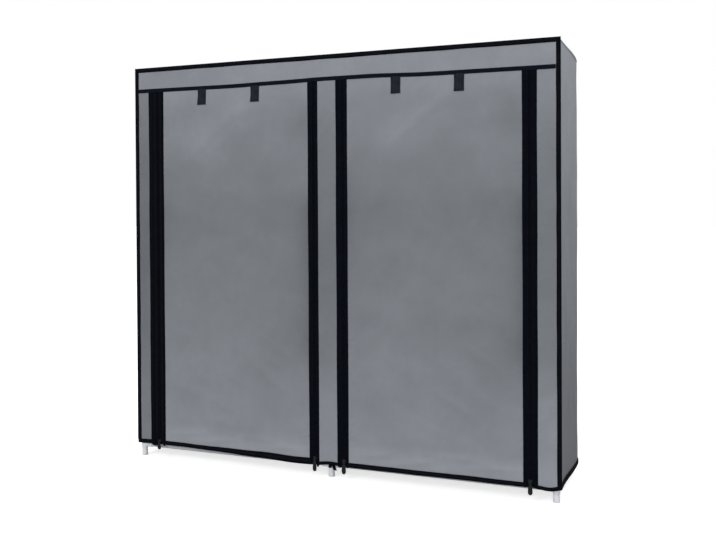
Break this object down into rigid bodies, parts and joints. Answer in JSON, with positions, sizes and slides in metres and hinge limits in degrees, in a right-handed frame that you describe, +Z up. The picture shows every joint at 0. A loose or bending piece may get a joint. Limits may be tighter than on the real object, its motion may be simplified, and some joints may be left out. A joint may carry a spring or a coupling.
{
  "type": "portable fabric wardrobe",
  "caption": "Free-standing tube-framed wardrobe with cloth shelves under a fitted grey cover; zipped front doors roll up under a black-bound valance.",
  "frame": {"origin": "centre of the footprint, on the floor that the feet stand on", "axes": "+X to the right seen from the front, along the width; +Y to the back; +Z up"},
  "size_m": [1.1826, 0.2872, 1.1013],
  "materials": {
    "cover_fabric": "matt non-woven cloth, soft blue-grey",
    "binding": "matt black woven binding tape",
    "zip_tape": "black zip tape with a nylon coil",
    "zip_metal": "black enamel, satin",
    "tube": "light grey powder coat",
    "connector": "white moulded plastic and light grey tube",
    "shelf_cloth": "matt non-woven cloth, light grey"
  },
  "bodies": {
    "root": {"roof_panel": "cover_fabric", "back_panel": "cover_fabric", "left_side_panel": "cover_fabric", "right_side_panel": "cover_fabric", "front_panel": "cover_fabric", "front_edge_binding": "binding", "valance_band": "binding", "left_door_left_tab": "binding", "left_door_right_tab": "binding", "right_door_left_tab": "binding", "right_door_right_tab": "binding", "hem_binding": "binding", "left_outer_zip_tape": "zip_tape", "left_inner_zip_tape": "zip_tape", "right_inner_zip_tape": "zip_tape", "right_outer_zip_tape": "zip_tape", "left_door_header": "cover_fabric", "right_door_header": "cover_fabric", "left_front_upright": "tube", "left_back_upright": "tube", "centre_front_upright": "tube", "centre_back_upright": "tube", "right_front_upright": "tube", "right_back_upright": "tube", "level_1_frame": "connector", "level_2_frame": "connector", "level_3_frame": "connector", "level_4_frame": "connector", "level_1_shelf": "shelf_cloth", "level_2_shelf": "shelf_cloth", "level_3_shelf": "shelf_cloth", "centre_tie": "binding"},
    "left_door_1": {"left_door_strip_1": "cover_fabric"},
    "left_door_2": {"left_door_strip_2": "cover_fabric"},
    "left_door_3": {"left_door_strip_3": "cover_fabric"},
    "left_door_4": {"left_door_strip_4": "cover_fabric"},
    "left_door_5": {"left_door_strip_5": "cover_fabric"},
    "left_door_6": {"left_door_strip_6": "cover_fabric"},
    "left_door_7": {"left_door_strip_7": "cover_fabric"},
    "left_door_8": {"left_door_strip_8": "cover_fabric"},
    "left_door_9": {"left_door_strip_9": "cover_fabric"},
    "right_door_1": {"right_door_strip_1": "cover_fabric"},
    "right_door_2": {"right_door_strip_2": "cover_fabric"},
    "right_door_3": {"right_door_strip_3": "cover_fabric"},
    "right_door_4": {"right_door_strip_4": "cover_fabric"},
    "right_door_5": {"right_door_strip_5": "cover_fabric"},
    "right_door_6": {"right_door_strip_6": "cover_fabric"},
    "right_door_7": {"right_door_strip_7": "cover_fabric"},
    "right_door_8": {"right_door_strip_8": "cover_fabric"},
    "right_door_9": {"right_door_strip_9": "cover_fabric"},
    "left_outer_slider": {"left_outer_zip_slider": "zip_metal"},
    "left_outer_pull": {"left_outer_zip_pull": "zip_metal"},
    "left_inner_slider": {"left_inner_zip_slider": "zip_metal"},
    "left_inner_pull": {"left_inner_zip_pull": "zip_metal"},
    "right_inner_slider": {"right_inner_zip_slider": "zip_metal"},
    "right_inner_pull": {"right_inner_zip_pull": "zip_metal"},
    "right_outer_slider": {"right_outer_zip_slider": "zip_metal"},
    "right_outer_pull": {"right_outer_zip_pull": "zip_metal"}
  },
  "joints": [
    {"name": "left_door_roll", "type": "hinge", "parent": "root", "child": "left_door_1", "pos_m": [-0.2795, -0.1394, 0.91], "axis": [-1, 0, 0], "range_deg": [0, 90]},
    {"name": "left_door_fold_2", "type": "hinge", "parent": "left_door_1", "child": "left_door_2", "pos_m": [-0.2795, -0.1394, 0.76878], "axis": [-1, 0, 0], "range_deg": [0, 90]},
    {"name": "left_door_fold_3", "type": "hinge", "parent": "left_door_2", "child": "left_door_3", "pos_m": [-0.2795, -0.1394, 0.63856], "axis": [-1, 0, 0], "range_deg": [0, 90]},
    {"name": "left_door_fold_4", "type": "hinge", "parent": "left_door_3", "child": "left_door_4", "pos_m": [-0.2795, -0.1394, 0.51933], "axis": [-1, 0, 0], "range_deg": [0, 90]},
    {"name": "left_door_fold_5", "type": "hinge", "parent": "left_door_4", "child": "left_door_5", "pos_m": [-0.2795, -0.1394, 0.41111], "axis": [-1, 0, 0], "range_deg": [0, 90]},
    {"name": "left_door_fold_6", "type": "hinge", "parent": "left_door_5", "child": "left_door_6", "pos_m": [-0.2795, -0.1394, 0.31389], "axis": [-1, 0, 0], "range_deg": [0, 90]},
    {"name": "left_door_fold_7", "type": "hinge", "parent": "left_door_6", "child": "left_door_7", "pos_m": [-0.2795, -0.1394, 0.22767], "axis": [-1, 0, 0], "range_deg": [0, 90]},
    {"name": "left_door_fold_8", "type": "hinge", "parent": "left_door_7", "child": "left_door_8", "pos_m": [-0.2795, -0.1394, 0.15244], "axis": [-1, 0, 0], "range_deg": [0, 90]},
    {"name": "left_door_fold_9", "type": "hinge", "parent": "left_door_8", "child": "left_door_9", "pos_m": [-0.2795, -0.1394, 0.08822], "axis": [-1, 0, 0], "range_deg": [0, 90]},
    {"name": "right_door_roll", "type": "hinge", "parent": "root", "child": "right_door_1", "pos_m": [0.2795, -0.1394, 0.91], "axis": [-1, 0, 0], "range_deg": [0, 90]},
    {"name": "right_door_fold_2", "type": "hinge", "parent": "right_door_1", "child": "right_door_2", "pos_m": [0.2795, -0.1394, 0.76878], "axis": [-1, 0, 0], "range_deg": [0, 90]},
    {"name": "right_door_fold_3", "type": "hinge", "parent": "right_door_2", "child": "right_door_3", "pos_m": [0.2795, -0.1394, 0.63856], "axis": [-1, 0, 0], "range_deg": [0, 90]},
    {"name": "right_door_fold_4", "type": "hinge", "parent": "right_door_3", "child": "right_door_4", "pos_m": [0.2795, -0.1394, 0.51933], "axis": [-1, 0, 0], "range_deg": [0, 90]},
    {"name": "right_door_fold_5", "type": "hinge", "parent": "right_door_4", "child": "right_door_5", "pos_m": [0.2795, -0.1394, 0.41111], "axis": [-1, 0, 0], "range_deg": [0, 90]},
    {"name": "right_door_fold_6", "type": "hinge", "parent": "right_door_5", "child": "right_door_6", "pos_m": [0.2795, -0.1394, 0.31389], "axis": [-1, 0, 0], "range_deg": [0, 90]},
    {"name": "right_door_fold_7", "type": "hinge", "parent": "right_door_6", "child": "right_door_7", "pos_m": [0.2795, -0.1394, 0.22767], "axis": [-1, 0, 0], "range_deg": [0, 90]},
    {"name": "right_door_fold_8", "type": "hinge", "parent": "right_door_7", "child": "right_door_8", "pos_m": [0.2795, -0.1394, 0.15244], "axis": [-1, 0, 0], "range_deg": [0, 90]},
    {"name": "right_door_fold_9", "type": "hinge", "parent": "right_door_8", "child": "right_door_9", "pos_m": [0.2795, -0.1394, 0.08822], "axis": [-1, 0, 0], "range_deg": [0, 90]},
    {"name": "left_outer_slide", "type": "slide", "parent": "root", "child": "left_outer_slider", "axis": [0, 0, 1], "range_m": [0, 0.9657]},
    {"name": "left_outer_pull_swing", "type": "hinge", "parent": "left_outer_slider", "child": "left_outer_pull", "pos_m": [-0.518, -0.1436, 0.045], "axis": [-1, 0, 0], "range_deg": [0, 170]},
    {"name": "left_inner_slide", "type": "slide", "parent": "root", "child": "left_inner_slider", "axis": [0, 0, 1], "range_m": [0, 0.9657]},
    {"name": "left_inner_pull_swing", "type": "hinge", "parent": "left_inner_slider", "child": "left_inner_pull", "pos_m": [-0.041, -0.1436, 0.045], "axis": [-1, 0, 0], "range_deg": [0, 170]},
    {"name": "right_inner_slide", "type": "slide", "parent": "root", "child": "right_inner_slider", "axis": [0, 0, 1], "range_m": [0, 0.9657]},
    {"name": "right_inner_pull_swing", "type": "hinge", "parent": "right_inner_slider", "child": "right_inner_pull", "pos_m": [0.041, -0.1436, 0.045], "axis": [-1, 0, 0], "range_deg": [0, 170]},
    {"name": "right_outer_slide", "type": "slide", "parent": "root", "child": "right_outer_slider", "axis": [0, 0, 1], "range_m": [0, 0.9657]},
    {"name": "right_outer_pull_swing", "type": "hinge", "parent": "right_outer_slider", "child": "right_outer_pull", "pos_m": [0.518, -0.1436, 0.045], "axis": [-1, 0, 0], "range_deg": [0, 170]}
  ],
  "couplings": [
    {"joint": "left_door_fold_2", "follows": "left_door_roll", "ratio": 1},
    {"joint": "left_door_fold_3", "follows": "left_door_roll", "ratio": 1},
    {"joint": "left_door_fold_4", "follows": "left_door_roll", "ratio": 1},
    {"joint": "left_door_fold_5", "follows": "left_door_roll", "ratio": 1},
    {"joint": "left_door_fold_6", "follows": "left_door_roll", "ratio": 1},
    {"joint": "left_door_fold_7", "follows": "left_door_roll", "ratio": 1},
    {"joint": "left_door_fold_8", "follows": "left_door_roll", "ratio": 1},
    {"joint": "left_door_fold_9", "follows": "left_door_roll", "ratio": 1},
    {"joint": "right_door_fold_2", "follows": "right_door_roll", "ratio": 1},
    {"joint": "right_door_fold_3", "follows": "right_door_roll", "ratio": 1},
    {"joint": "right_door_fold_4", "follows": "right_door_roll", "ratio": 1},
    {"joint": "right_door_fold_5", "follows": "right_door_roll", "ratio": 1},
    {"joint": "right_door_fold_6", "follows": "right_door_roll", "ratio": 1},
    {"joint": "right_door_fold_7", "follows": "right_door_roll", "ratio": 1},
    {"joint": "right_door_fold_8", "follows": "right_door_roll", "ratio": 1},
    {"joint": "right_door_fold_9", "follows": "right_door_roll", "ratio": 1}
  ]
}
